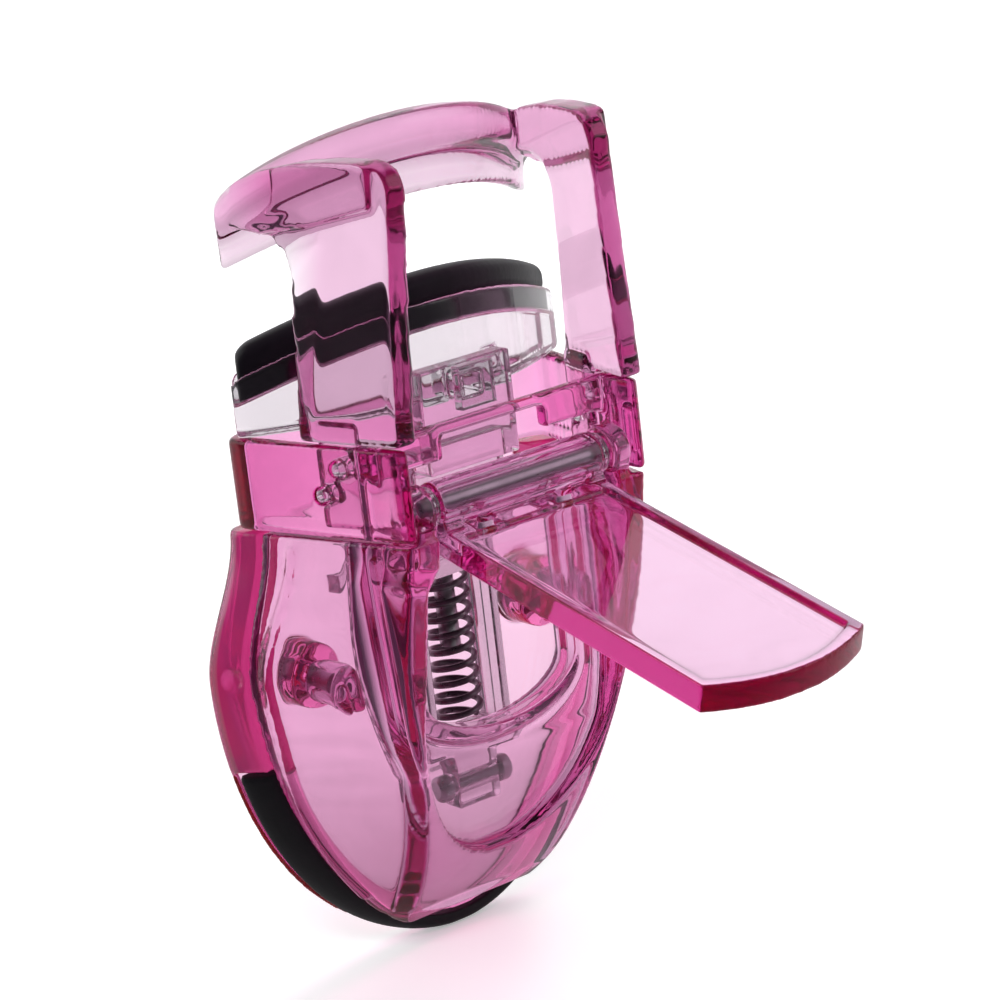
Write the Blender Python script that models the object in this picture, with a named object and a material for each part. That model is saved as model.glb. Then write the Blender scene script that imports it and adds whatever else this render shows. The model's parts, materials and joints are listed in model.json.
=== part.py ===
"""Pocket eyelash curler: clear plastic body, fixed upper jaw on two posts,
sliding lower jaw with a silicone pad, folding thumb lever and return spring.

All sizes are in millimetres: X across the jaws, Y from the lever side (front)
to the face side (back), Z up.  point() turns them into metres and puts the
world origin on the flat back face.  The lever is built open.
"""
import bpy
import bmesh
import math
from mathutils import Matrix, Vector

MM = 0.001

# ----------------------------------------------------------- driving dimensions
BACK_Y = 21.2            # flat back face
REF_Z = 26.0             # height of the world origin
GAP = 0.3                # clearance between the shells and under the collar
SEAM_Y = 17.0            # split plane between the two shells
SHELL_TOP = 40.5         # top of both shells
COLLAR_Z0, COLLAR_Z1 = SHELL_TOP + GAP, 48.6

# Body outlines: half width, height of the widest point, drop below it, exponent
REAR_HALF_W, REAR_WIDE_Z, REAR_DROP, REAR_POWER = 21.4, 28.0, 27.8, 0.96
FRONT_HALF_W, FRONT_WIDE_Z, FRONT_DROP, FRONT_POWER = 12.6, 40.0, 33.0, 2.2
BELOW_FRONT_SLOPE = 0.45  # how fast the front outline runs on below its lowest point
NECK_HALF_W = 17.3       # rear outline at the top of the shells
FRONT_Y, REAR_Y = 1.0, 20.0   # depths of the front and rear outlines
OUTLINE_ROWS = 13        # outline samples per side
BAND_ROWS = 11           # the same for the bumper and its groove

HINGE_Y, HINGE_Z = 3.5, 42.7
LEVER_TILT = 14.8        # degrees below horizontal, open
LEVER_RANGE = 75.0       # degrees from open to folded
LEVER_HALF_W = 8.7
LEVER_LEN = 32.6         # hinge axis to the tip corners
LEVER_CROWN = 2.2        # how far the tip bulges past its corners
LEVER_TOP = -1.5         # top face, relative to the hinge axis
LEVER_T = 2.4
SLIDE_TRAVEL = 6.2

JAW_HALF = 15.8          # half chord of the jaws
JAW_Y_END, JAW_SAG = 17.6, 5.6
JAW_ARCH = 3.5
LIP_Z = 62.8             # lower edge of the upper jaw at its ends
BAR_Z = 68.6             # top of the bar at its ends
BAR_T, BAR_DEPTH = 2.9, 3.6
BAR_LIFT = 1.1           # extra rise of the top of the bar at mid-span
PAD_Z = 56.3             # top of the pad at its ends
PAD_PROUD = 2.2          # pad top above the jaw carrier
JAW_T = 3.8

POST_T = 2.2
POST_TOP = 71.6

STEM_HALF_W = 4.9
CLIP_Z = 50.5            # centre of the clip between stem and jaw
FOOT_Z = 14.7            # pin through the foot of the stem

SPRING_Y = 14.5
SPRING_Z0, SPRING_Z1 = 19.45, 33.05
SPRING_R, SPRING_WIRE_R, SPRING_TURNS = 1.95, 0.27, 9
SPRING_STEPS = 10        # points per turn

SCREW_X, SCREW_Z = 12.4, 27.0
SPACER_X = 9.13

# Lock pins through the collar and the feet of the frame: name, y, z
LOCKS = (("front", 7.6, 46.7), ("rear", 9.5, 44.4))

# Angle and place of the lift pin at the end of the lever's crank, lever open
CRANK_ANGLE = math.radians(LEVER_RANGE / 2)
CRANK_R = SLIDE_TRAVEL / (2 * math.sin(CRANK_ANGLE))
LIFT_Y = HINGE_Y + CRANK_R * math.cos(CRANK_ANGLE)
LIFT_Z = HINGE_Z - CRANK_R * math.sin(CRANK_ANGLE)

TILT = math.radians(LEVER_TILT)
FOLD = math.radians(LEVER_TILT + LEVER_RANGE - 90.0)  # folded lever past vertical

SIDES = ((-1, "l", "left"), (1, "r", "right"))  # sign of x, short tag, word


# ------------------------------------------------------- scene and materials
for old in list(bpy.data.objects):
    bpy.data.objects.remove(old, do_unlink=True)

parts = bpy.data.collections.new("eyelash_curler")
cutters = bpy.data.collections.new("cutters")
bpy.context.scene.collection.children.link(parts)
bpy.context.scene.collection.children.link(cutters)


def material(name, color, roughness, metallic=0.0, alpha=1.0):
    mat = bpy.data.materials.new(name)
    mat.use_nodes = True
    inputs = mat.node_tree.nodes["Principled BSDF"].inputs
    inputs["Base Color"].default_value = (*color, 1.0)
    inputs["Roughness"].default_value = roughness
    inputs["Metallic"].default_value = metallic
    inputs["Alpha"].default_value = alpha
    return mat


PINK = material("clear_pink", color=(0.83, 0.45, 0.64), roughness=0.08, alpha=0.6)
MAGENTA = material("clear_magenta", color=(0.55, 0.02, 0.18), roughness=0.08, alpha=0.7)
CLEAR = material("clear_plastic", color=(0.85, 0.83, 0.85), roughness=0.06, alpha=0.4)
LEVER_PINK = material("clear_pink_lever", color=(0.85, 0.50, 0.68), roughness=0.06, alpha=0.6)
SILICONE = material("black_silicone", color=(0.015, 0.012, 0.018), roughness=0.45)
RUBBER = material("black_rubber", color=(0.012, 0.012, 0.014), roughness=0.6)
STEEL = material("steel", color=(0.55, 0.55, 0.57), roughness=0.25, metallic=1.0)
SPRING_STEEL = material("spring_steel", color=(0.25, 0.24, 0.25), roughness=0.3, metallic=1.0)


# ------------------------------------------------------------ solids as bmeshes
def point(x, y, z):
    return Vector((x * MM, (y - BACK_Y) * MM, (z - REF_Z) * MM))


def span(centre, half):
    return (centre - half, centre + half)


def side_span(side, near, far):
    """X range between two distances from the middle, on the given side."""
    return sorted((side * near, side * far))


def mirrored(points):
    """Right-hand points followed by their mirror images in reverse order."""
    return points + [(-x, other) for x, other in reversed(points)]


def loft(rings):
    """Quads between rings of equal length, ends closed with one face each."""
    bm = bmesh.new()
    loops = [[bm.verts.new(co) for co in ring] for ring in rings]
    count = len(rings[0])
    for a, b in zip(loops, loops[1:]):
        for i in range(count):
            j = (i + 1) % count
            bm.faces.new((a[i], a[j], b[j], b[i]))
    bm.faces.new(loops[0])
    bm.faces.new(loops[-1])
    return bm


def prism_x(outline_yz, x_range):
    return loft([[point(x, y, z) for y, z in outline_yz] for x in x_range])


def prism_y(outline_xz, y_range):
    return loft([[point(x, y, z) for x, z in outline_xz] for y in y_range])


def prism_z(outline_xy, z_range):
    return loft([[point(x, y, z) for x, y in outline_xy] for z in z_range])


def box(x_range, y_range, z_range):
    bm = bmesh.new()
    bmesh.ops.create_cube(bm, size=1.0)
    ranges = (x_range, y_range, z_range)
    centre = point(*[(low + high) / 2 for low, high in ranges])
    size = [(high - low) * MM for low, high in ranges]
    for vert in bm.verts:
        vert.co = Vector([co * s for co, s in zip(vert.co, size)]) + centre
    return bm


def rod(axis, centre, radius, half, segments=20):
    """Cylinder along 'X', 'Y' or 'Z', half being half its length."""
    bm = bmesh.new()
    turn = {'X': Matrix.Rotation(math.pi / 2, 4, 'Y'),
            'Y': Matrix.Rotation(-math.pi / 2, 4, 'X'),
            'Z': Matrix.Identity(4)}[axis]
    bmesh.ops.create_cone(bm, cap_ends=True, segments=segments, radius1=radius * MM,
                          radius2=radius * MM, depth=2 * half * MM,
                          matrix=Matrix.Translation(point(*centre)) @ turn)
    return bm


# --------------------------------------------------------- objects and booleans
def add_object(name, bm, coll, smooth_angle):
    bmesh.ops.recalc_face_normals(bm, faces=bm.faces)
    mesh = bpy.data.meshes.new(name)
    bm.to_mesh(mesh)
    bm.free()
    obj = bpy.data.objects.new(name, mesh)
    coll.objects.link(obj)
    mesh.shade_smooth()
    mesh.set_sharp_from_angle(angle=math.radians(smooth_angle))
    return obj


def add_part(name, bm, mat, smooth_angle=30):
    obj = add_object(name, bm, parts, smooth_angle)
    obj.data.materials.append(mat)
    return obj


def boolean(obj, bm, operation, name):
    tool = add_object(name, bm, cutters, smooth_angle=30)
    tool.hide_render = True
    tool.display_type = 'WIRE'
    mod = obj.modifiers.new(name, 'BOOLEAN')
    mod.operation = operation
    mod.object = tool
    mod.solver = 'EXACT'


def cut(obj, bm, name):
    boolean(obj, bm, 'DIFFERENCE', name)


def join(obj, bm, name):
    boolean(obj, bm, 'UNION', name)


# ------------------------------------------------------------ the body surface
def rear_half_w(z):
    if z <= REAR_WIDE_Z:
        s = min(1.0, (REAR_WIDE_Z - z) / REAR_DROP)
        return REAR_HALF_W * (1 - s * s) ** (REAR_POWER / 2)
    t = min(1.0, (z - REAR_WIDE_Z) / (SHELL_TOP - REAR_WIDE_Z))
    return REAR_HALF_W + (NECK_HALF_W - REAR_HALF_W) * t * t * (3 - 2 * t)


def front_half_w(z):
    """Negative below the outline, so that the body tapers on towards the rear."""
    if z <= FRONT_WIDE_Z:
        s = (FRONT_WIDE_Z - z) / FRONT_DROP
        if s >= 1:
            return -BELOW_FRONT_SLOPE * (FRONT_WIDE_Z - FRONT_DROP - z)
        return FRONT_HALF_W * (1 - s * s) ** (FRONT_POWER / 2)
    return FRONT_HALF_W


def half_width(z, y):
    """Half width of the body, straight between the front and rear outlines."""
    t = (y - FRONT_Y) / (REAR_Y - FRONT_Y)
    return front_half_w(z) + t * (rear_half_w(z) - front_half_w(z))


def front_rim_y(z):
    """The front rim of the cheeks seen from the side."""
    s = max(0.0, (42.0 - z) / 42.0)
    return FRONT_Y + 8.5 * s + 9.8 * s ** 5


def floor_y(z):
    """Floor of the lever recess, 0.45 behind the folded lever."""
    return (HINGE_Y + (LEVER_T - LEVER_TOP + 0.45) / math.cos(FOLD)
            + (HINGE_Z - z) * math.tan(FOLD))


def rows(z0, z1, count):
    """Heights from z0 to z1, closest together near z0."""
    return [z0 + (z1 - z0) * (1 - math.cos(math.pi / 2 * i / (count - 1)))
            for i in range(count)]


def inset_side(points, inset):
    """Moves right-hand (x, z) points inward; the top one keeps its height."""
    first_x, first_z = points[0]
    padded = [(-first_x, first_z)] + points + [points[-1]]
    moved = []
    for before, (x, z), after in zip(padded, points, padded[2:]):
        along = Vector((after[0] - before[0], after[1] - before[1])).normalized()
        moved.append((max(0.25, x - inset * along.y), z + inset * along.x))
    moved[-1] = (moved[-1][0], points[-1][1])
    return moved


def outline(y, inset=0.0, z_top=SHELL_TOP, count=OUTLINE_ROWS):
    """Closed (x, z) outline at depth y: left side top to bottom, then right."""
    z_low = 0.05
    while half_width(z_low, y) <= 0.35:
        z_low += 0.05
    right = [(half_width(z, y), z) for z in rows(z_low, z_top, count)]
    if inset:
        right = inset_side(right, inset)
    return [(-x, z) for x, z in reversed(right)] + right


def band(y0, y1, outer, inner, z_top):
    """Crescent round the lower edge between two depths and two insets."""
    corners = ((y0, outer), (y1, outer), (y1, inner), (y0, inner))
    loops = [[point(x, y, z) for x, z in outline(y, inset, z_top, BAND_ROWS)]
             for y, inset in corners]
    return loft(list(zip(*loops)))


# ----------------------------------------------------------------- front shell
def row_ring(z, y_front, half_front, y_back, half_back):
    """Level four-sided ring, symmetric about the middle."""
    return [point(-half_front, y_front, z), point(half_front, y_front, z),
            point(half_back, y_back, z), point(-half_back, y_back, z)]


def shell_blank():
    y_back = SEAM_Y - GAP / 2
    rings = []
    for z in rows(2.6, SHELL_TOP, 14):
        y_rim = front_rim_y(z)
        rings.append(row_ring(z, y_rim, max(0.3, half_width(z, y_rim)),
                              y_back, max(0.3, half_width(z, y_back))))
    return loft(rings)


def lever_recess():
    def half_w(z):
        s = max(0.0, (25.0 - z) / 16.0)
        return 10.7 * math.sqrt(1 - s * s)

    neck_half_w = 9.5
    stations = [(z, half_w(z)) for z in rows(9.1, 36.0, 9)]
    stations += [(38.0, neck_half_w), (45.0, neck_half_w)]
    return loft([row_ring(z, -3, half, max(floor_y(z), front_rim_y(z) + 1.6), half)
                 for z, half in stations])


def front_cavity():
    wall = 1.7
    y_back = 18.0
    rings = []
    for z in rows(4.6, 44.0, 10):
        y_front = max(floor_y(z) + 1.25, front_rim_y(z) + 2.8)
        rings.append(row_ring(z, y_front, max(0.5, half_width(z, y_front) - wall),
                              y_back, max(0.6, half_width(z, y_back) - wall)))
    return loft(rings)


def spring_window():
    """Opening with a half-elliptic lower edge, open at the top."""
    half_w, drop, z_side, z_top = 8.2, 4.1, 25.0, 45.0
    angles = [math.radians(deg) for deg in range(-90, 91, 18)]
    shape = [(half_w * math.sin(a), z_side - drop * math.cos(a)) for a in angles]
    shape += [(half_w, z_top), (-half_w, z_top)]
    return prism_y(shape, (2.0, 15.5))


def build_front_shell():
    shell = add_part("front_shell", shell_blank(), PINK)
    for side, tag, _ in reversed(SIDES):
        join(shell, box(side_span(side, 9.55, 11.5), (1.7, 5.6), (38.0, 43.0)), "lug_" + tag)
    for side, tag, _ in reversed(SIDES):
        join(shell, rod('X', (side * 10.52, HINGE_Y, HINGE_Z), radius=2.2, half=0.98),
             "lug_eye_" + tag)
    cut(shell, lever_recess(), "lever_recess")
    cut(shell, front_cavity(), "front_cavity")
    cut(shell, spring_window(), "spring_window")
    for side, tag, _ in SIDES:
        x = side * SCREW_X
        join(shell, rod('Y', (x, 13.4, SCREW_Z), radius=1.9, half=2.78, segments=16),
             "boss_" + tag)
        cut(shell, rod('Y', (x, 14.9, SCREW_Z), radius=1.0, half=2.2, segments=12),
            "boss_hole_" + tag)
        cut(shell, rod('X', (side * 9.9, HINGE_Y, HINGE_Z), radius=0.95, half=1.05, segments=16),
            "pin_hole_" + tag)


# ------------------------------------------- back cover, bumper and case screws
def build_back_cover():
    seam = SEAM_Y + GAP / 2
    # depth, depth whose outline is used, inset of the outline
    stations = ((seam, seam, 0.0), (REAR_Y, REAR_Y, 0.0),
                (20.8, REAR_Y, 0.45), (BACK_Y, REAR_Y, 1.6))
    rings = [[point(x, y, z) for x, z in outline(outline_y, inset)]
             for y, outline_y, inset in stations]
    cover = add_part("back_cover", loft(rings), MAGENTA)
    cut(cover, band(SEAM_Y - 1.0, REAR_Y, outer=-1.0, inner=1.55, z_top=20.2), "bumper_groove")
    cavity = outline(18.0, inset=3.1, z_top=44.0)
    cut(cover, prism_y(cavity, (SEAM_Y - 1.5, 19.7)), "back_cavity")
    for side, tag, _ in SIDES:
        x = side * SCREW_X
        join(cover, rod('Y', (x, 18.35, SCREW_Z), radius=2.7, half=1.84), "back_boss_" + tag)
        cut(cover, rod('Y', (x, 18.0, SCREW_Z), radius=1.1, half=4.5, segments=16),
            "back_hole_" + tag)
        cut(cover, rod('Y', (x, 21.0, SCREW_Z), radius=2.0, half=1.4), "head_recess_" + tag)


def build_grip_bumper():
    add_part("grip_bumper", band(SEAM_Y + GAP, 19.7, outer=0.0, inner=1.2, z_top=19.9), RUBBER)


def build_case_screws():
    for side, _, word in SIDES:
        x = side * SCREW_X
        screw = add_part("case_screw_" + word,
                         rod('Y', (x, 20.35, SCREW_Z), radius=1.7, half=0.6), STEEL)
        join(screw, rod('Y', (x, 16.9, SCREW_Z), radius=0.72, half=3.2, segments=12),
             f"shank_{side + 1}")


# ----------------------------------------------------------------- neck collar
def collar_x(y):
    """Outer face of the collar's side wall."""
    return 12.9 + 0.25 * (y - FRONT_Y)


def build_neck_collar():
    wall = 1.0
    # right-hand (x, y) plan points, outside and inside
    outer = [(12.6, FRONT_Y), (collar_x(1.9), 1.9), (collar_x(18.4), 18.4),
             (16.4, 19.6), (14.8, 20.1)]
    inner = [(13.9, 18.8), (15.4, 18.2), (collar_x(6.3) - wall, 6.3)]
    through = (COLLAR_Z0 - 2, COLLAR_Z1 + 2)
    z_below = COLLAR_Z0 - 3

    collar = add_part("neck_collar", prism_z(mirrored(outer), (COLLAR_Z0, COLLAR_Z1)), MAGENTA)
    cut(collar, prism_z(mirrored(inner), through), "collar_core")
    cut(collar, box(span(0, 12.0), (-2.0, 4.9), through), "collar_front")
    cut(collar, box(span(0, 5.5), (3.0, 8.0), (z_below, 47.6)), "crank_window")
    cut(collar, box(span(0, 12.02), (3.0, 8.0), (z_below, 45.6)), "lug_window")
    return collar


# ------------------------------------------------------------------ jaw sweeps
def arc_fall(x):
    """1 in the middle of the jaws, 0 at the ends of their chord."""
    return 1 - (x / JAW_HALF) ** 2


def arc_sweep(section, half, steps):
    """Sweeps a section along the jaw arc, from -half to half in X.

    Section columns: depth off the arc (positive to the back), height, share of
    the arch it follows, extra lift that fades out towards the ends."""
    rings = []
    for i in range(steps + 1):
        x = -half + 2 * half * i / steps
        y = JAW_Y_END - JAW_SAG * arc_fall(x)
        along = Vector((1.0, 2 * JAW_SAG * x / JAW_HALF ** 2)).normalized()
        fade = 1 - (abs(x) / half) ** 5
        rings.append([point(x - depth * along.y, y + depth * along.x,
                            z + follow * JAW_ARCH * arc_fall(x) + lift * fade)
                      for depth, z, follow, lift in section])
    return loft(rings)


# ----------------------------------------------------------------- upper frame
def post_x(y, z):
    """Outer face of a post or its arm."""
    return 12.0 + 0.062 * max(-4.0, 67.5 - z) + 0.23 * (y - 0.7)


def side_plate(side, outline_yz, face_x, insets):
    """Plate between two insets from the leaning face x = face_x(y, z)."""
    return loft([[point(side * (face_x(y, z) - inset), y, z) for y, z in outline_yz]
                 for inset in insets])


def arm_outline():
    """(y, z) outline of a post and its arm: up the front, back along the top, down."""
    foot_z = COLLAR_Z1 + 0.25
    corner_r = 2.4
    corner = []
    for deg in range(0, 91, 22):
        a = math.radians(deg)
        corner.append((0.25 + corner_r - corner_r * math.cos(a),
                       POST_TOP - corner_r + corner_r * math.sin(a)))
    return [(0.95, foot_z), (0.75, 58.6), (0.35, 67.5), *corner,
            (9.0, POST_TOP - 1.35), (15.2, BAR_Z + 0.35), (17.9, BAR_Z - 0.25),
            (18.3, 66.2), (14.6, 65.9), (12.6, 65.6), (11.4, 64.2), (11.0, 62.0),
            (11.0, foot_z)]


def build_upper_frame():
    edge = BAR_DEPTH / 2
    bar_low = BAR_Z - BAR_T
    low_lift = 0.45 * BAR_LIFT
    bar = [(-1.5, BAR_Z, 1, BAR_LIFT), (1.0, BAR_Z, 1, BAR_LIFT),
           (edge, BAR_Z - 0.7, 1, BAR_LIFT), (edge, bar_low, 1, low_lift),
           (0.75, bar_low - 0.2, 1, 0), (0.65, LIP_Z, 1, 0),
           (-0.55, LIP_Z, 1, 0), (-0.75, bar_low - 0.2, 1, 0),
           (-edge, bar_low, 1, low_lift), (-edge, BAR_Z - 0.6, 1, BAR_LIFT)]
    tenon_z = (41.3, COLLAR_Z1 + 1.5)
    tenon = [(6.7, tenon_z[0]), (10.6, tenon_z[0]), (10.6, tenon_z[1]), (6.7, tenon_z[1])]

    frame = add_part("upper_frame", arc_sweep(bar, half=15.5, steps=16), PINK)
    for side, tag, _ in SIDES:
        join(frame, side_plate(side, arm_outline(), post_x, (0, POST_T)), "arm_" + tag)
        join(frame, side_plate(side, tenon, lambda y, z: collar_x(y), (1.32, 2.65)),
             "tenon_" + tag)
    return frame


def build_lock_pins(frame, collar):
    """Pins across the collar walls that lock the frame's tenons."""
    for side, _, word in SIDES:
        for end, y, z in LOCKS:
            x = collar_x(y)
            cut(frame, rod('X', (side * (x - 1.6), y, z), radius=0.78, half=1.5, segments=12),
                f"lock_hole_{word}_{end}")
            cut(collar, rod('X', (side * (x - 0.4), y, z), radius=0.78, half=1.6, segments=12),
                f"lock_bore_{word}_{end}")
            add_part(f"lock_pin_{word}_{end}",
                     rod('X', (side * (x - 1.15), y, z), radius=0.55, half=1.25, segments=12),
                     CLEAR)


# ----------------------------------------------------------------------- lever
def lever_point(x, u, v):
    """Lever coordinates: u outward along the plate, v square to it, up."""
    y = HINGE_Y - u * math.cos(TILT) - v * math.sin(TILT)
    z = HINGE_Z - u * math.sin(TILT) + v * math.cos(TILT)
    return point(x, y, z)


def lever_prism(outline_xu, v_range):
    return loft([[lever_point(x, u, v) for x, u in outline_xu] for v in v_range])


def lever_outline(inset, root, steps=8):
    """(x, u) outline with a crowned tip and a straight root."""
    half = LEVER_HALF_W - inset
    tip = []
    for i in range(steps + 1):
        x = half - 2 * half * i / steps
        tip.append((x, LEVER_LEN - inset + LEVER_CROWN * (1 - (x / half) ** 2)))
    return [(half, root), *tip, (-half, root)]


def build_lever():
    root = -1.0
    # (x, u) corners of the two slots that clear the stem's lugs
    notches = [(-5.1, root), (-5.1, 2.2), (-3.35, 2.2), (-3.35, root),
               (3.35, root), (3.35, 2.2), (5.1, 2.2), (5.1, root)]
    # (y, z) outlines of the webs under the barrel and of the crank arms
    web = [(HINGE_Y - 2.2, 39.8), (HINGE_Y + 1.6, 40.2),
           (HINGE_Y + 1.5, 42.2), (HINGE_Y - 1.5, 41.6)]
    arm = [(1.6, 38.6), (LIFT_Y, LIFT_Z - 1.25), (LIFT_Y + 0.9, LIFT_Z - 0.85),
           (LIFT_Y + 1.25, LIFT_Z), (LIFT_Y + 0.9, LIFT_Z + 0.85),
           (LIFT_Y, LIFT_Z + 1.25), (HINGE_Y + 0.9, 41.3), (2.0, 40.6)]

    plate = lever_prism(lever_outline(0, root) + notches, (LEVER_TOP - LEVER_T, LEVER_TOP))
    lever = add_part("lever", plate, LEVER_PINK)
    cut(lever, lever_prism(lever_outline(0.95, 4.0), (LEVER_TOP - 0.35, LEVER_TOP + 1.0)),
        "lever_dish")
    hinge = (0, HINGE_Y, HINGE_Z)
    join(lever, rod('X', hinge, radius=2.0, half=LEVER_HALF_W, segments=24), "barrel")
    for side, tag, _ in SIDES:
        join(lever, prism_x(web, side_span(side, 6.8, LEVER_HALF_W)), "web_" + tag)
        join(lever, prism_x(arm, side_span(side, 2.1, 3.3)), "crank_" + tag)
        cut(lever, rod('X', (side * 2.7, LIFT_Y, LIFT_Z), radius=0.78, half=1.4, segments=14),
            "lift_hole_" + tag)
    cut(lever, rod('X', hinge, radius=0.97, half=12, segments=18), "hinge_bore")


def build_lever_pins():
    """Hinge pin, the spacers on it, and the lift pin."""
    add_part("hinge_pin",
             rod('X', (0, HINGE_Y, HINGE_Z), radius=0.75, half=10.6, segments=18), STEEL)
    for side, _, word in SIDES:
        centre = (side * SPACER_X, HINGE_Y, HINGE_Z)
        spacer = add_part("hinge_spacer_" + word, rod('X', centre, radius=1.75, half=0.24), CLEAR)
        cut(spacer, rod('X', centre, radius=0.95, half=1.0, segments=16),
            f"spacer_bore_{side + 1}")
    add_part("lift_pin", rod('X', (0, LIFT_Y, LIFT_Z), radius=0.58, half=5.0, segments=14), STEEL)


# ------------------------------------------------------- lower jaw and its pad
def build_lower_jaw():
    top = PAD_Z - PAD_PROUD
    edge = JAW_T / 2
    # arc_sweep sections: a flat-bottomed carrier with a groove, and the pad in it
    carrier = [(-edge, 48.9, 0, 0), (edge, 48.9, 0, 0), (edge, top, 1, 0), (1.45, top, 1, 0),
               (1.45, top - 2.3, 1, 0), (-1.45, top - 2.3, 1, 0),
               (-1.45, top, 1, 0), (-edge, top, 1, 0)]
    pad = [(-1.2, top - 2.1, 1, 0), (1.2, top - 2.1, 1, 0), (1.2, PAD_Z - 0.9, 1, 0),
           (0.75, PAD_Z - 0.2, 1, 0), (0, PAD_Z, 1, 0),
           (-0.75, PAD_Z - 0.2, 1, 0), (-1.2, PAD_Z - 0.9, 1, 0)]
    jaw = add_part("jaw_carrier", arc_sweep(carrier, half=16.3, steps=14), CLEAR)
    cut(jaw, box(span(0, 1.35), (9.0, 13.0), span(CLIP_Z, 1.15)), "clip_hole")
    add_part("silicone_pad", arc_sweep(pad, half=JAW_HALF, steps=14), SILICONE)


# ------------------------------------------------------------------- lift stem
def build_lift_stem():
    half = STEM_HALF_W
    # (y, z) side view of the cranked upper part
    side_view = [(7.9, 52.4), (7.9, 43.5), (10.2, 43.5), (10.2, 35.6), (15.7, 35.6),
                 (15.7, 38.6), (12.2, 38.6), (12.2, 45.4), (9.8, 45.4), (9.8, 52.4)]
    # (x, z) front view of the U-shaped lower part with its narrow foot
    ladder = [(-half, 37.0), (-half, 17.0), (-2.3, 17.0), (-2.3, 12.6), (2.3, 12.6),
              (2.3, 17.0), (half, 17.0), (half, 37.0),
              (3.1, 37.0), (3.1, 19.2), (-3.1, 19.2), (-3.1, 37.0)]
    stem = add_part("lift_stem", prism_x(side_view, span(0, half)), CLEAR)
    join(stem, prism_y(ladder, (13.3, 15.69)), "ladder")
    for side, tag, _ in SIDES:
        join(stem, box(side_span(side, 3.55, 4.75), (5.75, 11.0), span(LIFT_Z, 1.7)),
             "lift_lug_" + tag)
    slot_y = (LIFT_Y - 0.88, HINGE_Y + CRANK_R + 0.85)
    cut(stem, box(span(0, 6), slot_y, span(LIFT_Z, 0.83)), "lift_slot")
    cut(stem, box(span(0, 1.35), (7.0, 10.5), span(CLIP_Z, 1.15)), "stem_clip_hole")
    cut(stem, rod('X', (0, SPRING_Y, FOOT_Z), radius=0.95, half=4.0, segments=14), "foot_hole")


def build_jaw_clip():
    clip = add_part("jaw_clip", box(span(0, 1.85), (6.5, 7.6), span(CLIP_Z, 1.85)), CLEAR)
    join(clip, box(span(0, 1.05), (7.0, 12.4), span(CLIP_Z, 0.85)), "clip_shank")


def build_foot_pin():
    foot = add_part("foot_pin",
                    rod('X', (0, SPRING_Y, FOOT_Z), radius=0.7, half=3.2, segments=14), STEEL)
    for side, tag, _ in reversed(SIDES):
        join(foot, rod('X', (side * 3.3, SPRING_Y, FOOT_Z), radius=1.3, half=0.7, segments=16),
             "foot_head_" + tag)


# ---------------------------------------------------------------------- spring
def build_spring_seat():
    # (x, y) plan: a tongue to the front of a wide bar
    plan = [(-2.7, 12.0), (2.7, 12.0), (2.7, 16.6), (8.5, 16.6),
            (8.5, 18.6), (-8.5, 18.6), (-8.5, 16.6), (-2.7, 16.6)]
    add_part("spring_seat", prism_z(plan, (33.4, 35.0)), CLEAR)
    add_part("spring_guide_rod",
             rod('Z', (0, SPRING_Y, 29.8), radius=0.9, half=3.3, segments=14), STEEL)


def build_return_spring():
    """Helix drawn as a bevelled curve, then turned into a mesh."""
    curve = bpy.data.curves.new("return_spring", 'CURVE')
    curve.dimensions = '3D'
    curve.bevel_depth = SPRING_WIRE_R * MM
    curve.bevel_resolution = 2
    curve.use_fill_caps = True
    spline = curve.splines.new('POLY')
    last = SPRING_TURNS * SPRING_STEPS
    spline.points.add(last)
    low, high = SPRING_Z0 + SPRING_WIRE_R, SPRING_Z1 - SPRING_WIRE_R
    for i in range(last + 1):
        a = 2 * math.pi * i / SPRING_STEPS
        co = point(SPRING_R * math.cos(a), SPRING_Y + SPRING_R * math.sin(a),
                   low + (high - low) * i / last)
        spline.points[i].co = (*co, 1)
    temp = bpy.data.objects.new("spring_curve", curve)
    parts.objects.link(temp)
    bpy.context.view_layer.update()
    depsgraph = bpy.context.evaluated_depsgraph_get()
    mesh = bpy.data.meshes.new_from_object(temp.evaluated_get(depsgraph))
    bm = bmesh.new()
    bm.from_mesh(mesh)
    bmesh.ops.remove_doubles(bm, verts=bm.verts, dist=1e-6)
    bpy.data.objects.remove(temp, do_unlink=True)
    add_part("return_spring", bm, SPRING_STEEL, smooth_angle=60)


# --------------------------------------------------------------------- origins
def set_origins():
    """Swinging parts turn about the hinge, sliding parts share one origin."""
    hinge = point(0, HINGE_Y, HINGE_Z)
    slide = point(0, SPRING_Y, COLLAR_Z1)
    groups = ((hinge, ("lever", "lift_pin")),
              (slide, ("jaw_carrier", "silicone_pad", "lift_stem", "jaw_clip", "foot_pin")))
    for origin, names in groups:
        for name in names:
            obj = bpy.data.objects[name]
            obj.data.transform(Matrix.Translation(-origin))
            obj.location = origin


build_front_shell()
build_back_cover()
build_grip_bumper()
build_case_screws()
neck_collar = build_neck_collar()
upper_frame = build_upper_frame()
build_lock_pins(upper_frame, neck_collar)
build_lever()
build_lever_pins()
build_lower_jaw()
build_lift_stem()
build_jaw_clip()
build_foot_pin()
build_spring_seat()
build_return_spring()
set_origins()
bpy.context.view_layer.update()
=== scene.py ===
"""Looks of a pocket eyelash curler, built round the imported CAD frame.

It stands upright: x to the right, y from front to back, z up. The handle of two shells is
below, the thumb lever sticks out to the front, and the jaws are on top. Sizes are design
millimetres; the scene's origin lies at y = BACK_Y, z = REF_Z on the centre plane.
"""
import bpy
import bmesh
import json
import math
from mathutils import Matrix, Vector

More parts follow.
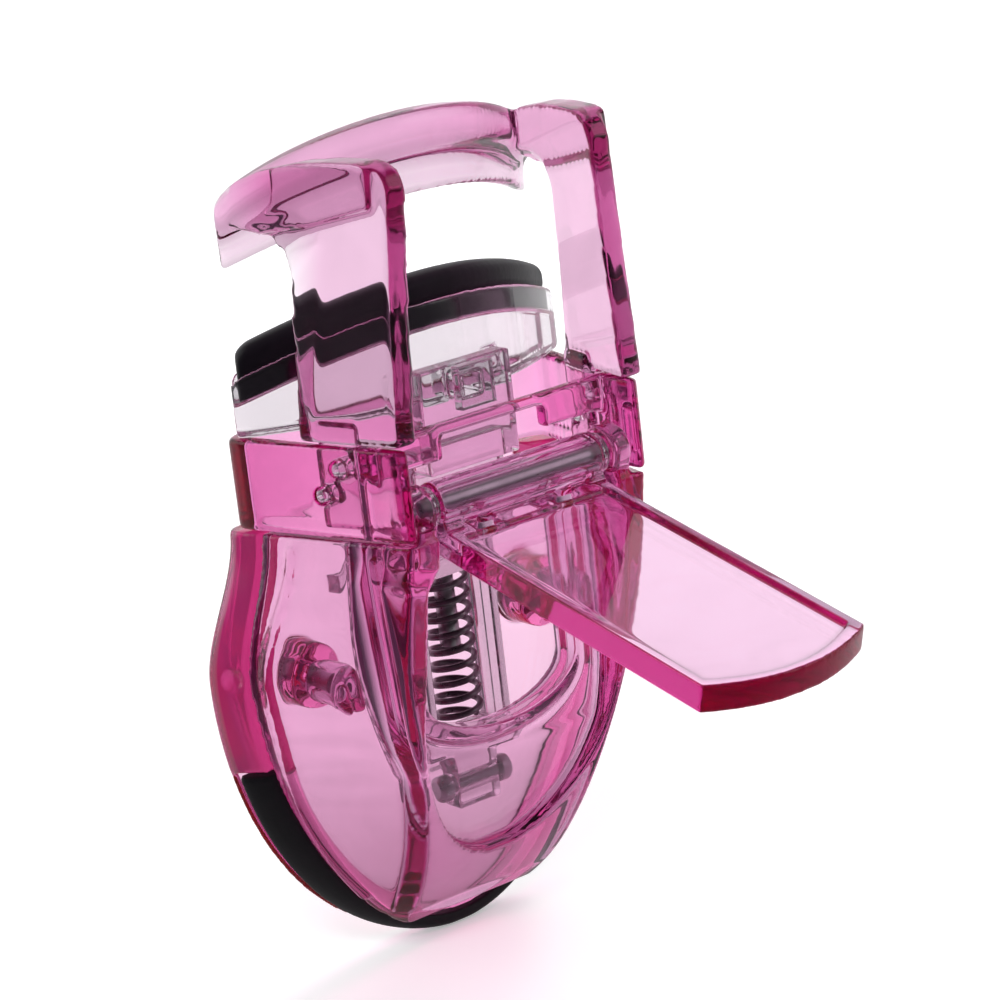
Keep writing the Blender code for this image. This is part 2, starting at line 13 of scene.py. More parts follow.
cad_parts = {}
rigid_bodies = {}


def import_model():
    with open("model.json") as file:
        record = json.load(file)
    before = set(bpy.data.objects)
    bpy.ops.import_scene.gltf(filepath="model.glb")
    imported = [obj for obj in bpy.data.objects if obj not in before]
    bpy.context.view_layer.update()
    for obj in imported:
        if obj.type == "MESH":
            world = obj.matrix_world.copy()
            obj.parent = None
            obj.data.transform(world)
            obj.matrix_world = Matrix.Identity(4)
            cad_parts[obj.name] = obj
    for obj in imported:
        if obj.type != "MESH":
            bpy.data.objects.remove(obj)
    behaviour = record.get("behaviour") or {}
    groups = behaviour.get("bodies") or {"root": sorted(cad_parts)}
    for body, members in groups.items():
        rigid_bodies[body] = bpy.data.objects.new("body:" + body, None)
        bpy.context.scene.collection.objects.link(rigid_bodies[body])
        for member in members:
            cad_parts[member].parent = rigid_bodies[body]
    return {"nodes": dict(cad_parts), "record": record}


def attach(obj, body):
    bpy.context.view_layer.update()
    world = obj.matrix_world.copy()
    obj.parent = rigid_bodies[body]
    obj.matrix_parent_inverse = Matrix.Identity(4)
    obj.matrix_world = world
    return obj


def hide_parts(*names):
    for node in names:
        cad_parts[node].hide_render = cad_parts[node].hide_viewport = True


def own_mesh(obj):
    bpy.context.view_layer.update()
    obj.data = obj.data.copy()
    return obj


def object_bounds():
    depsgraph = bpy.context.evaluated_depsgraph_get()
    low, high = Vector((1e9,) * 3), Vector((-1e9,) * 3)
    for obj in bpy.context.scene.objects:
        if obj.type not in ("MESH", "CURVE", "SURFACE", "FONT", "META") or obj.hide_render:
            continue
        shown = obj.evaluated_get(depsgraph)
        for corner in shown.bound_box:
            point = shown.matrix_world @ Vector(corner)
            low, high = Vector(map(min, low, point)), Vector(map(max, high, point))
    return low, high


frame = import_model()
CAD_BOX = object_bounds()
NODES = frame["nodes"]
scene = bpy.context.scene
MM = 0.001
SIDES = (-1, 1)                           # left, right

# ---------------------------------------------------------- driving dimensions, mm
BACK_Y, REF_Z = 21.2, 26.0                # scene origin
SEAM_Y, SEAM_HALF_GAP = 17.0, 0.15        # joint of the two shells
SHELL_TOP = 40.5
COLLAR_Z0, COLLAR_Z1 = 40.8, 48.6
# Half-width of the handle at a front and a rear station: size, height of the widest
# level, height of the curve below it and its exponent
FRONT_Y, REAR_Y = 1.0, 20.0
REAR_W, REAR_WIDEST_Z, REAR_H, REAR_POWER = 21.4, 28.0, 27.8, 0.96
FRONT_W, FRONT_WIDEST_Z, FRONT_H, FRONT_POWER = 12.6, 40.0, 33.0, 2.2
NECK_HALF_W = 17.3
OUTLINE_POINTS = 60                       # on each side
BUMPER_TOP = 19.85

HINGE_Y, HINGE_Z = 3.5, 42.7
HINGE_HOLE_Z_R = 0.95
TILT_DEG, LEVER_SWING = 14.8, 75.0        # degrees
TILT = math.radians(TILT_DEG)
FOLD = math.radians(TILT_DEG + LEVER_SWING - 90.0)   # folded lever against vertical
LEVER_HALF_W, LEVER_LEN, LEVER_CROWN = 8.7, 32.6, 2.2
LEVER_TOP, LEVER_T = -1.5, 2.4            # upper face from the hinge axis, thickness
JAW_STROKE = 6.2
CRANK_R = JAW_STROKE / (2 * math.sin(math.radians(LEVER_SWING / 2)))
LIFT_ANGLE = -math.radians(LEVER_SWING / 2)
LIFT_Y = HINGE_Y + CRANK_R * math.cos(LIFT_ANGLE)
LIFT_Z = HINGE_Z + CRANK_R * math.sin(LIFT_ANGLE)

JAW_HALF, JAW_Y_END, JAW_SAG, JAW_ARCH = 15.8, 17.6, 5.6, 3.5
JAW_T, JAW_FOOT_Z = 3.8, 48.9
LIP_Z, BAR_Z, BAR_T, BAR_HALF = 62.8, 68.6, 2.9, 16.1
BAR_BASE = BAR_Z - BAR_T
PAD_Z, PAD_PROUD = 56.3, 2.2
JAW_TOP = PAD_Z - PAD_PROUD
POST_T, POST_TOP = 2.2, 71.6

SPRING_Y, SPRING_Z0, SPRING_Z1 = 14.5, 19.45, 33.05
SPRING_R, SPRING_END_GAP, SPRING_WIRE_R, SPRING_TURNS = 1.95, 0.27, 0.29, 9
FOOT_PIN_Z = 14.7
STEM_HALF_W = 4.9
SCREW_X, SCREW_Z = 12.4, 27.0
LOCK_PIN_YZ = ((7.6, 46.7), (9.5, 44.4))  # through collar and frame
LOCK_HOLE_R = 0.78
CLIP_HOLE_HALF_W = 1.35                   # through jaw and stem
CLIP_HOLE_Z = (49.35, 51.65)

# ------------------------------------------------------------------ materials
PER_METRE = 1000.0
DYE = (0.0138, 0.149, 0.0686)             # absorption per mm in red, green, blue


class Graph:
    """Adds shader nodes and joins them; an input takes a value or a socket."""

    def __init__(self, owner):
        owner.use_nodes = True
        self.tree = owner.node_tree
        self.tree.nodes.clear()

    def link(self, source, target):
        self.tree.links.new(source, target)

    def add(self, kind, inputs=None, **settings):
        node = self.tree.nodes.new("ShaderNode" + kind)
        for key, value in settings.items():
            setattr(node, key, value)
        for key, value in (inputs or {}).items():
            if isinstance(value, bpy.types.NodeSocket):
                self.link(value, node.inputs[key])
            else:
                node.inputs[key].default_value = value
        return node

    def noise(self, coord, scale, detail=3.0, rough=0.6, distortion=0.0):
        return self.add("TexNoise", {"Scale": scale, "Detail": detail, "Roughness": rough,
                                     "Distortion": distortion, "Vector": coord}).outputs["Fac"]

    def remap(self, value, source, target=(0.0, 1.0)):
        return self.add("MapRange", {"From Min": source[0], "From Max": source[1],
                                     "To Min": target[0], "To Max": target[1],
                                     "Value": value}).outputs["Result"]

    def mix_colour(self, factor, first, second):
        first, second = [(*c, 1) if isinstance(c, tuple) else c for c in (first, second)]
        return self.add("Mix", {"A": first, "B": second, "Factor": factor},
                        data_type="RGBA").outputs["Result"]

    def bump(self, height, strength, distance):
        return self.add("Bump", {"Strength": strength, "Distance": distance,
                                 "Height": height}).outputs["Normal"]

    def calc(self, operation, first, second):
        return self.add("Math", {0: first, 1: second}, operation=operation).outputs[0]


def new_material(name):
    material = bpy.data.materials.new(name)
    return material, Graph(material)


def cover_clear_mask(graph, coord):
    """1 where the back cover is fully clear: back plate, screw bosses, bumper groove."""
    split = graph.add("SeparateXYZ", {0: coord})
    plate = graph.remap(split.outputs["Y"], source=(-0.0019, -0.0011))
    mirrored = graph.add("Math", {0: split.outputs["X"]}, operation="ABSOLUTE").outputs[0]
    flat = graph.add("CombineXYZ", {"X": mirrored, "Z": split.outputs["Z"]}).outputs[0]
    away = graph.add("VectorMath",
                     {0: flat, 1: (SCREW_X * MM, 0.0, (SCREW_Z - REF_Z) * MM)},
                     operation="DISTANCE").outputs["Value"]
    boss = graph.remap(away, source=(0.0032, 0.0040), target=(1.0, 0.0))
    either = graph.calc("MAXIMUM", plate, boss)
    groove = graph.remap(split.outputs["Z"], source=(-0.0066, -0.0060), target=(1.0, 0.0))
    return graph.calc("MAXIMUM", either, groove)


def clear(name, tint, dye, spectrum=DYE, shade=None, solid=0.0, clear_tint=None):
    """Polished plastic: refracting body, dye by depth, faint mould flow and fine scuffs.

    shade tints the light it lets through. solid is the opaque share outside the cover's
    clear places, which take clear_tint.
    """
    flow_dimming, polish = 0.06, 0.03
    material, graph = new_material(name)
    coord = graph.add("TexCoord").outputs["Object"]
    flow = graph.noise(coord, scale=140.0, rough=0.55, distortion=1.2)
    dim = tuple(c * (1 - flow_dimming) for c in tint)
    colour = graph.mix_colour(graph.remap(flow, source=(0.35, 0.7)), tint, dim)
    scuff = graph.noise(coord, scale=2600.0, detail=2.0)
    wave = graph.noise(coord, scale=260.0, detail=2.0, rough=0.4)
    body = graph.add("BsdfPrincipled", {
        "Transmission Weight": 1.0 - solid,
        "IOR": 1.49,
        "Roughness": graph.remap(scuff, source=(0.45, 0.8), target=(polish, polish + 0.05)),
        "Normal": graph.bump(wave, strength=0.12, distance=0.00012)})
    if clear_tint:
        mask = cover_clear_mask(graph, coord)
        colour = graph.mix_colour(mask, colour, clear_tint)
        graph.link(graph.remap(mask, source=(0.0, 1.0), target=(1.0 - solid, 1.0)),
                   body.inputs["Transmission Weight"])
    graph.link(colour, body.inputs["Base Color"])

    # shadow and diffuse rays pass straight through, only tinted
    through = shade or tuple(min(1.0, c ** 0.5) for c in tint)
    pane = graph.add("BsdfTransparent", {"Color": (*through, 1)})
    ray = graph.add("LightPath").outputs
    passing = graph.calc("MAXIMUM", ray["Is Shadow Ray"], ray["Is Diffuse Ray"])
    surface = graph.add("MixShader", {0: passing, 1: body.outputs[0], 2: pane.outputs[0]})

    # the node absorbs density * (1 - colour) per metre
    absorbed = [s * dye * PER_METRE for s in spectrum]
    density = max(absorbed) * 1.02
    volume = graph.add("VolumeAbsorption", {
        "Density": density, "Color": (*[1 - a / density for a in absorbed], 1)})
    graph.add("OutputMaterial", {"Surface": surface.outputs[0], "Volume": volume.outputs[0]})
    return material


def soft(name, dark, light, rough, grain, strength, sheen):
    """Silicone or rubber: fine matt grain, faint dust and handling shine."""
    material, graph = new_material(name)
    coord = graph.add("TexCoord").outputs["Object"]
    patch = graph.noise(coord, scale=180.0, detail=4.0)
    fine = graph.noise(coord, scale=grain, rough=0.65)
    body = graph.add("BsdfPrincipled", {
        "Base Color": graph.mix_colour(graph.remap(patch, source=(0.4, 0.75)), dark, light),
        "Roughness": graph.remap(patch, source=(0.3, 0.7), target=(rough, rough + 0.14)),
        "Normal": graph.bump(fine, strength=strength, distance=0.00004),
        "Sheen Weight": sheen,
        "Sheen Roughness": 0.5,
        "Coat Roughness": 0.25,
        "Specular IOR Level": 0.2})
    graph.add("OutputMaterial", {"Surface": body.outputs[0]})
    return material


def metal(name, base, dull, rough, stretch):
    """Drawn or ground steel: fine lines along one axis and slightly stained patches."""
    material, graph = new_material(name)
    coord = graph.add("TexCoord").outputs["Object"]
    stretched = graph.add("Mapping", {"Scale": stretch, "Vector": coord}).outputs["Vector"]
    line = graph.noise(stretched, scale=1200.0)
    stain = graph.noise(coord, scale=300.0)
    body = graph.add("BsdfPrincipled", {
        "Metallic": 1.0,
        "Base Color": graph.mix_colour(graph.remap(stain, source=(0.4, 0.7)), base, dull),
        "Roughness": graph.remap(line, source=(0.3, 0.7), target=(rough, rough + 0.15)),
        "Normal": graph.bump(line, strength=0.05, distance=0.00001)})
    graph.add("OutputMaterial", {"Surface": body.outputs[0]})
    return material


MATERIALS = {
    "clear_pink": clear("clear_pink", tint=(0.955, 0.905, 0.945), dye=1.25,
                        spectrum=(0.026, 0.150, 0.068)),
    "frame_pink": clear("frame_pink", tint=(0.945, 0.90, 0.93), dye=1.4,
                        spectrum=(0.040, 0.150, 0.078)),
    "clear_pink_lever": clear("clear_pink_lever", tint=(0.945, 0.925, 0.945), dye=1.0,
                              spectrum=(0.0085, 0.149, 0.052)),
    "clear_magenta": clear("clear_magenta", tint=(0.80, 0.055, 0.28), dye=2.0, solid=0.66,
                           shade=(0.93, 0.72, 0.85), clear_tint=(0.97, 0.86, 0.93)),
    "collar_magenta": clear("collar_magenta", tint=(0.955, 0.63, 0.81), dye=1.6,
                            spectrum=(0.018, 0.150, 0.055)),
    "clear_plastic": clear("clear_plastic", tint=(0.775, 0.765, 0.78), dye=0.12),
    "black_silicone": soft("black_silicone", dark=(0.006, 0.004, 0.007),
                           light=(0.013, 0.009, 0.014), rough=0.38, grain=2200.0,
                           strength=0.25, sheen=0.04),
    "black_rubber": soft("black_rubber", dark=(0.006, 0.0055, 0.007),
                         light=(0.012, 0.011, 0.013), rough=0.46, grain=3200.0,
                         strength=0.35, sheen=0.03),
    "steel": metal("steel", base=(0.50, 0.47, 0.49), dull=(0.38, 0.355, 0.375),
                   rough=0.24, stretch=(0.25, 1.6, 1.6)),
    "spring_steel": metal("spring_steel", base=(0.20, 0.16, 0.18), dull=(0.11, 0.085, 0.10),
                          rough=0.25, stretch=(1.0, 1.0, 1.0)),
}


def paint_cad():
    slots = {r["node"]: r["material_slot"] for r in frame["record"].get("subparts", [])}
    for node, ob in NODES.items():
        if not ob.material_slots:
            ob.data.materials.append(None)
        for slot in ob.material_slots:
            slot.material = MATERIALS[slots.get(node, "clear_plastic")]


paint_cad()

# --------------------------------------------------------------------- solids
work = bpy.data.collections.new("work")
scene.collection.children.link(work)


def point(x, y, z):
    """Design millimetres to scene metres."""
    return Vector((x * MM, (y - BACK_Y) * MM, (z - REF_Z) * MM))


def loft(rings):
    """Closed skin through rings of equal count, capped at both ends."""
    bm = bmesh.new()
    rows = [[bm.verts.new(p) for p in ring] for ring in rings]
    count = len(rings[0])
    for low, high in zip(rows, rows[1:]):
        for i in range(count):
            j = (i + 1) % count
            bm.faces.new((low[i], low[j], high[j], high[i]))
    bm.faces.new(rows[0])
    bm.faces.new(rows[-1])
    return bm


def prism_x(outline_yz, x0, x1):
    return loft([[point(x, y, z) for y, z in outline_yz] for x in (x0, x1)])


def prism_y(outline_xz, y0, y1):
    return loft([[point(x, y, z) for x, z in outline_xz] for y in (y0, y1)])


def prism_z(outline_xy, z0, z1):
    return loft([[point(x, y, z) for x, y in outline_xy] for z in (z0, z1)])


def box(x0, x1, y0, y1, z0, z1):
    return prism_z([(x0, y0), (x1, y0), (x1, y1), (x0, y1)], z0, z1)


def span(side, near, far):
    """Ends in x of a range that is near..far from the centre plane."""
    return sorted((side * near, side * far))


def rod(axis, centre, radius, half):
    bm = bmesh.new()
    turn = {'X': Matrix.Rotation(math.pi / 2, 4, 'Y'),
            'Y': Matrix.Rotation(-math.pi / 2, 4, 'X')}[axis]
    bmesh.ops.create_cone(bm, cap_ends=True, segments=48, radius1=radius * MM,
                          radius2=radius * MM, depth=2 * half * MM,
                          matrix=Matrix.Translation(point(*centre)) @ turn)
    return bm


def ball(centre, radius):
    bm = bmesh.new()
    bmesh.ops.create_uvsphere(bm, u_segments=20, v_segments=10, radius=radius * MM,
                              matrix=Matrix.Translation(point(*centre)))
    return bm


def angles(count):
    return [2 * math.pi * i / count for i in range(count)]


def wire(path, radius, segments, axis_at):
    """Round bar along scene points; axis_at(place, heading) gives one cross axis."""
    rings = []
    for i, place in enumerate(path):
        heading = (path[min(i + 1, len(path) - 1)] - path[max(i - 1, 0)]).normalized()
        first = axis_at(place, heading).normalized()
        second = heading.cross(first).normalized()
        rings.append([place + (first * math.cos(a) + second * math.sin(a)) * radius * MM
                      for a in angles(segments)])
    return loft(rings)


def tube(path, radius):
    return wire([point(*p) for p in path], radius, 12,
                lambda place, heading: heading.cross(Vector((0, 1, 0))))


def work_object(name, mesh):
    ob = bpy.data.objects.new(name, mesh)
    work.objects.link(ob)
    return ob


def work_solid(name, bm):
    bmesh.ops.recalc_face_normals(bm, faces=bm.faces)
    mesh = bpy.data.meshes.new(name)
    bm.to_mesh(mesh)
    bm.free()
    return work_object(name, mesh)


def evaluated_mesh(ob):
    bpy.context.view_layer.update()
    depsgraph = bpy.context.evaluated_depsgraph_get()
    return bpy.data.meshes.new_from_object(ob.evaluated_get(depsgraph))


def drop_islands(mesh):
    """Drops stray islands that a remesh can leave."""
    bm = bmesh.new()
    bm.from_mesh(mesh)
    left = set(bm.verts)
    groups = []
    while left:
        seed = left.pop()
        stack, group = [seed], [seed]
        while stack:
            vert = stack.pop()
            for edge in vert.link_edges:
                other = edge.other_vert(vert)
                if other in left:
                    left.discard(other)
                    stack.append(other)
                    group.append(other)
        groups.append(group)
    biggest = max(len(group) for group in groups)
    for group in groups:
        if len(group) < 0.02 * biggest:
            bmesh.ops.delete(bm, geom=group, context='VERTS')
    bm.to_mesh(mesh)
    bm.free()


class Part:
    """One piece: a base solid with unions and cuts, rounded at the end."""

    def __init__(self, name, bm):
        self.name = name
        self.ob = work_solid("w_" + name, bm)

    def combine(self, bm, operation):
        modifier = self.ob.modifiers.new("b", 'BOOLEAN')
        modifier.operation = operation
        modifier.object = work_solid("w_tool", bm)
        modifier.solver = 'EXACT'

    def add(self, bm):
        self.combine(bm, 'UNION')

    def cut(self, bm):
        self.combine(bm, 'DIFFERENCE')

    def finish(self, node, body, slot, voxel=None, rounds=0, material=None, align=None):
        """Replaces a CAD node. voxel (mm) and rounds soften the edges; without a voxel
        size they stay sharp. align turns the piece so that flat faces remesh flat."""
        if align is not None:
            mesh = evaluated_mesh(self.ob)
            mesh.transform(align)
            self.ob = work_object("w_aligned", mesh)
        if voxel:
            remesh = self.ob.modifiers.new("r", 'REMESH')
            remesh.mode = 'VOXEL'
            remesh.voxel_size = voxel * MM
            remesh.use_smooth_shade = True
            smooth = self.ob.modifiers.new("s", 'SMOOTH')
            smooth.factor = 0.5
            smooth.iterations = rounds
        mesh = evaluated_mesh(self.ob)
        mesh.name = self.name
        if align is not None:
            mesh.transform(align.inverted())
        mesh.materials.clear()
        mesh.materials.append(MATERIALS[material or slot])
        ob = bpy.data.objects.new(self.name, mesh)
        scene.collection.objects.link(ob)
        if voxel:
            drop_islands(mesh)
        mesh.shade_smooth()
        if not voxel:
            mesh.set_sharp_from_angle(angle=math.radians(35))
        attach(ob, body)
        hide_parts(node)
        return ob


# ------------------------------------------------------------ form of the handle
def smoothstep(t):
    t = min(1.0, max(0.0, t))
    return t * t * (3 - 2 * t)


def rear_width(z):
    if z <= REAR_WIDEST_Z:
        s = min(1.0, (REAR_WIDEST_Z - z) / REAR_H)
        return REAR_W * (1 - s * s) ** (REAR_POWER / 2)
    rise = (z - REAR_WIDEST_Z) / (SHELL_TOP - REAR_WIDEST_Z)
    return REAR_W + (NECK_HALF_W - REAR_W) * smoothstep(rise)


def front_width(z):
    if z <= FRONT_WIDEST_Z:
        s = (FRONT_WIDEST_Z - z) / FRONT_H
        if s >= 1:
            # negative below the curve's end, so that widths between the stations still taper
            return -0.45 * (FRONT_WIDEST_Z - FRONT_H - z)
        return FRONT_W * (1 - s * s) ** (FRONT_POWER / 2)
    return FRONT_W


def half_width(z, y):
    t = (y - FRONT_Y) / (REAR_Y - FRONT_Y)
    return front_width(z) + t * (rear_width(z) - front_width(z))


def front_y(z):
    """Front face, swept back towards the bottom."""
    s = max(0.0, (42.0 - z) / 42.0)
    return FRONT_Y + 8.5 * s + 9.8 * s ** 5


def recess_floor_y(z):
    """Floor behind the folded lever."""
    clearance = 0.45
    return (HINGE_Y + (LEVER_T - LEVER_TOP + clearance) / math.cos(FOLD)
            + (HINGE_Z - z) * math.tan(FOLD))


def recess_half_width(z):
    s = min(1.0, max(0.0, (25.0 - z) / 16.0))
    return max(0.3, 10.7 * math.sqrt(max(0.0, 1 - s * s)))


def levels(z0, z1, count):
    """Heights from z0 to z1, closest together at z0."""
    return [z0 + (z1 - z0) * (1 - math.cos(math.pi / 2 * i / (count - 1)))
            for i in range(count)]


def inset_curve(side, inset, z_top):
    """Right half of an outline moved inwards, ending at z_top."""
    whole = [(-x, z) for x, z in reversed(side)] + side
    kept = []
    for i, (x, z) in enumerate(side):
        before = side[i - 1] if i else (-side[0][0], side[0][1])
        after = side[min(len(side) - 1, i + 1)]
        along = Vector((after[0] - before[0], after[1] - before[1])).normalized()
        new_x, new_z = x - inset * along.y, z + inset * along.x
        if new_x < 0.1:
            continue
        # leaves out points that fold back over the outline
        if inset > 0:
            nearest = min((new_x - u) ** 2 + (new_z - v) ** 2 for u, v in whole)
            if nearest < (inset * 0.985) ** 2:
                continue
        if kept and new_z <= kept[-1][1] + 1e-4:
            continue
        kept.append((new_x, new_z))
    return [p for p in kept if p[1] < z_top - 0.02] + [(kept[-1][0], z_top)]


def resample(curve, count):
    """Points at equal distances along a curve."""
    run = [0.0]
    for a, b in zip(curve, curve[1:]):
        run.append(run[-1] + math.hypot(b[0] - a[0], b[1] - a[1]))
    result, j = [], 0
    for k in range(count):
        t = run[-1] * k / (count - 1)
        while j < len(run) - 2 and run[j + 1] < t:
            j += 1
        f = (t - run[j]) / max(1e-9, run[j + 1] - run[j])
        a, b = curve[j], curve[j + 1]
        result.append((a[0] + (b[0] - a[0]) * f, a[1] + (b[1] - a[1]) * f))
    return result


def outline(y, inset, z_top=SHELL_TOP):
    """(x, z) outline at depth y: left side top to bottom, then right side upwards."""
    z = 0.05
    while half_width(z, y) <= 0.35 and z < 20:
        z += 0.05
    side = [(half_width(q, y), q) for q in levels(z, max(z_top, SHELL_TOP), 90)]
    if inset:
        side = inset_curve(side, inset, z_top)
    right = resample(side, OUTLINE_POINTS)
    return [(-x, q) for x, q in reversed(right)] + right


def outline_ring(y, shape_y, inset, z_top=SHELL_TOP):
    """Outline of depth shape_y, placed at y."""
    return [point(x, y, z) for x, z in outline(shape_y, inset, z_top)]


def outline_band(section, z_top):
    """A (y, inset) section carried round the outline."""
    loops = [outline_ring(y, y if y > BUMPER_TOP else min(y, REAR_Y), inset, z_top)
             for y, inset in section]
    return loft(list(zip(*loops)))


# ---------------------------------------------------------------- front shell
def front_block():
    rings = []
    for z in levels(2.6, SHELL_TOP, 70):
        ya = front_y(z)
        yb = max(SEAM_Y - SEAM_HALF_GAP, ya + 0.05)
        depths = [ya + (yb - ya) * k / 8 for k in range(9)]
        line = [(max(0.3, half_width(z, y)), y) for y in depths]
        rings.append([point(-x, y, z) for x, y in reversed(line)]
                     + [point(x, y, z) for x, y in line])
    return loft(rings)


def lever_recess():
    rings = []
    for z in levels(9.1, 36.0, 40) + [38.0, 45.0]:
        w = recess_half_width(z) if z < 36.5 else 9.5
        yb = max(recess_floor_y(z), front_y(z) + 1.6)
        rings.append([point(-w, -3, z), point(w, -3, z), point(w, yb, z), point(-w, yb, z)])
    return loft(rings)


def front_hollow():
    wall, rear = 1.7, 18.0
    rings = []
    for z in levels(4.6, 44.0, 40):
        ya = max(recess_floor_y(z) + 1.25, front_y(z) + 2.8)
        wa = max(0.5, half_width(z, ya) - wall)
        wb = max(0.6, half_width(z, rear) - wall)
        rings.append([point(-wa, ya, z), point(wa, ya, z),
                      point(wb, rear, z), point(-wb, rear, z)])
    return loft(rings)


def rim_path(side):
    """Rounded rim beside the joint of the two shells."""
    top, drop = 39.6, 33.0
    path = []
    for i in range(41):
        z = top - drop * i / 40
        y = 13.5 + 1.9 * smoothstep((top - z) / 12.0) + 0.75 * smoothstep((25 - z) / 10.0)
        path.append((side * (half_width(z, y) - 0.10), y, z))
    return path


def window_outline(half, top, bottom, arc_z):
    """Straight-sided window with a round lower end."""
    arc = [(half * math.sin(math.radians(d)),
            arc_z - (arc_z - bottom) * math.cos(math.radians(d))) for d in range(-90, 91, 6)]
    return arc + [(half, top), (-half, top)]


def make_front():
    part = Part("front_shell_moulded", front_block())
    for s in SIDES:
        # hinge ears
        part.add(box(*span(s, 9.55, 11.5), 1.7, 5.6, 38.0, 43.0))
        part.add(rod('X', (s * 10.52, HINGE_Y, HINGE_Z), 2.2, 0.98))
    part.cut(lever_recess())
    part.cut(front_hollow())
    for s in SIDES:
        part.add(tube(rim_path(s), 0.62))
        part.add(rod('Y', (s * SCREW_X, 13.4, SCREW_Z), 1.9, 2.78))
    # frame round the spring window, then the window itself
    part.add(prism_y(window_outline(9.3, 38.0, 19.4, 24.0), 7.9, 10.7))
    part.cut(prism_y(window_outline(8.2, 45.0, 20.9, 25.0), 2.0, 15.5))
    for s in SIDES:
        part.cut(rod('Y', (s * SCREW_X, 14.9, SCREW_Z), 1.0, 2.2))
        part.cut(rod('X', (s * 9.9, HINGE_Y, HINGE_Z), HINGE_HOLE_Z_R, 1.05))
    part.finish("front_shell", "body", "clear_pink", voxel=0.23, rounds=14)


# ----------------------------------------------------- back cover and its bumper
# y, inset: straight wall, then the rounded edge of the back plate
COVER_SECTION = [
    (SEAM_Y + SEAM_HALF_GAP, 0.0), (18.2, 0.0), (19.4, 0.0), (20.0, 0.05),
    (20.5, 0.32), (20.9, 0.72), (21.12, 1.2), (BACK_Y, 1.8)]
GROOVE_SECTION = [(SEAM_Y - 1.0, -1.0), (20.1, -1.0), (20.1, 1.55), (SEAM_Y - 1.0, 1.55)]
BUMPER_SECTION = [
    (SEAM_Y + 0.32, 0.75), (SEAM_Y + 0.42, 0.28), (SEAM_Y + 0.75, 0.02), (18.3, -0.14),
    (18.9, -0.12), (19.4, 0.02), (19.7, 0.28), (19.83, 0.65), (19.85, 1.2),
    (SEAM_Y + 0.32, 1.2)]


def make_back():
    part = Part("back_cover_moulded",
                loft([outline_ring(y, min(y, REAR_Y), inset) for y, inset in COVER_SECTION]))
    part.cut(outline_band(GROOVE_SECTION, z_top=20.1))
    part.cut(loft([outline_ring(y, 18.0, 3.1, 44.0) for y in (SEAM_Y - 1.5, 20.2)]))
    for s in SIDES:
        # screw boss with its bore and countersunk head
        part.add(rod('Y', (s * SCREW_X, 18.35, SCREW_Z), 2.7, 1.84))
        part.cut(rod('Y', (s * SCREW_X, 18.0, SCREW_Z), 1.1, 4.5))
        part.cut(rod('Y', (s * SCREW_X, 21.0, SCREW_Z), 2.0, 1.4))
        # finger notch beside the rim
        part.cut(ball((s * 20.9, SEAM_Y + 0.7, 28.6), 1.25))
    part.finish("back_cover", "body", "clear_magenta", voxel=0.23, rounds=10)


def make_bumper():
    part = Part("grip_bumper_soft", outline_band(BUMPER_SECTION, z_top=BUMPER_TOP))
    part.finish("grip_bumper", "body", "black_rubber", voxel=0.2, rounds=5)


# ---------------------------------------------------------------- neck collar
def side_x(y):
    """Outer face of the collar."""
    return 12.9 + 0.25 * (y - FRONT_Y)


def mirrored(half):
    return half + [(-x, y) for x, y in reversed(half)]


# x, y of the right half, front to back
COLLAR_PLAN = [
    (11.9, 1.0), (12.5, 1.12), (12.95, 1.5), (side_x(2.3), 2.3),
    *[(side_x(y), y) for y in (6.0, 10.0, 14.0, 17.4)],
    (17.15, 18.6), (16.6, 19.4), (15.8, 19.9), (14.8, 20.1)]
COLLAR_BORE = [(13.9, 18.8), (15.4, 18.2), (side_x(6.3) - 1.0, 6.3)]


def make_collar():
    part = Part("neck_collar_moulded", prism_z(mirrored(COLLAR_PLAN), COLLAR_Z0, COLLAR_Z1))
    part.cut(prism_z(mirrored(COLLAR_BORE), COLLAR_Z0 - 2, COLLAR_Z1 + 2))
    part.cut(box(-12.0, 12.0, -2.0, 4.9, COLLAR_Z0 - 2, COLLAR_Z1 + 2))
    part.cut(box(-5.5, 5.5, 3.0, 8.0, COLLAR_Z0 - 3, 47.6))
    part.cut(box(-12.0, 12.0, 3.0, 8.0, COLLAR_Z0 - 3, 45.6))
    for s in SIDES:
        # step line over the shells
        part.cut(tube([(s * (side_x(y) + 0.12), y, 42.3)
                       for y in (1.5, 4.0, 8.0, 12.0, 16.5)], 0.26))
        for y, z in LOCK_PIN_YZ:
            part.cut(rod('X', (s * (side_x(y) - 0.4), y, z), LOCK_HOLE_R, 1.6))
    part.finish("neck_collar", "body", "clear_magenta", voxel=0.17, rounds=22,
                material="collar_magenta")


# ------------------------------------------------------------- curve of the jaws
def arc_y(x):
    return JAW_Y_END - JAW_SAG * (1 - (x / JAW_HALF) ** 2)


def arc_rise(x):
    return JAW_ARCH * (1 - (x / JAW_HALF) ** 2)


def tip_round(from_tip, radius):
    """0 at the tip, rising to 1 along a quarter circle."""
    k = min(1.0, from_tip / radius)
    return math.sqrt(max(0.0, 1 - (1 - k) ** 2))


def arc_sweep(section, half, steps, shape_end):
    """Carries a section along the jaw curve, from x = -half to half.

    section: depth, height and share of the arch's rise that the point follows.
    shape_end(distance from the tip, depth, height) rounds it near the tips.
    """
    rings = []
    for i in range(steps + 1):
        x = half * -math.cos(math.pi * i / steps)
        along = Vector((1.0, 2 * JAW_SAG * x / JAW_HALF ** 2)).normalized()
        ring = []
        for d, z, follow in section:
            d, z = shape_end(half - abs(x), d, z)
            ring.append(point(x - d * along.y, arc_y(x) + d * along.x,
                              z + follow * arc_rise(x)))
        rings.append(ring)
    return loft(rings)


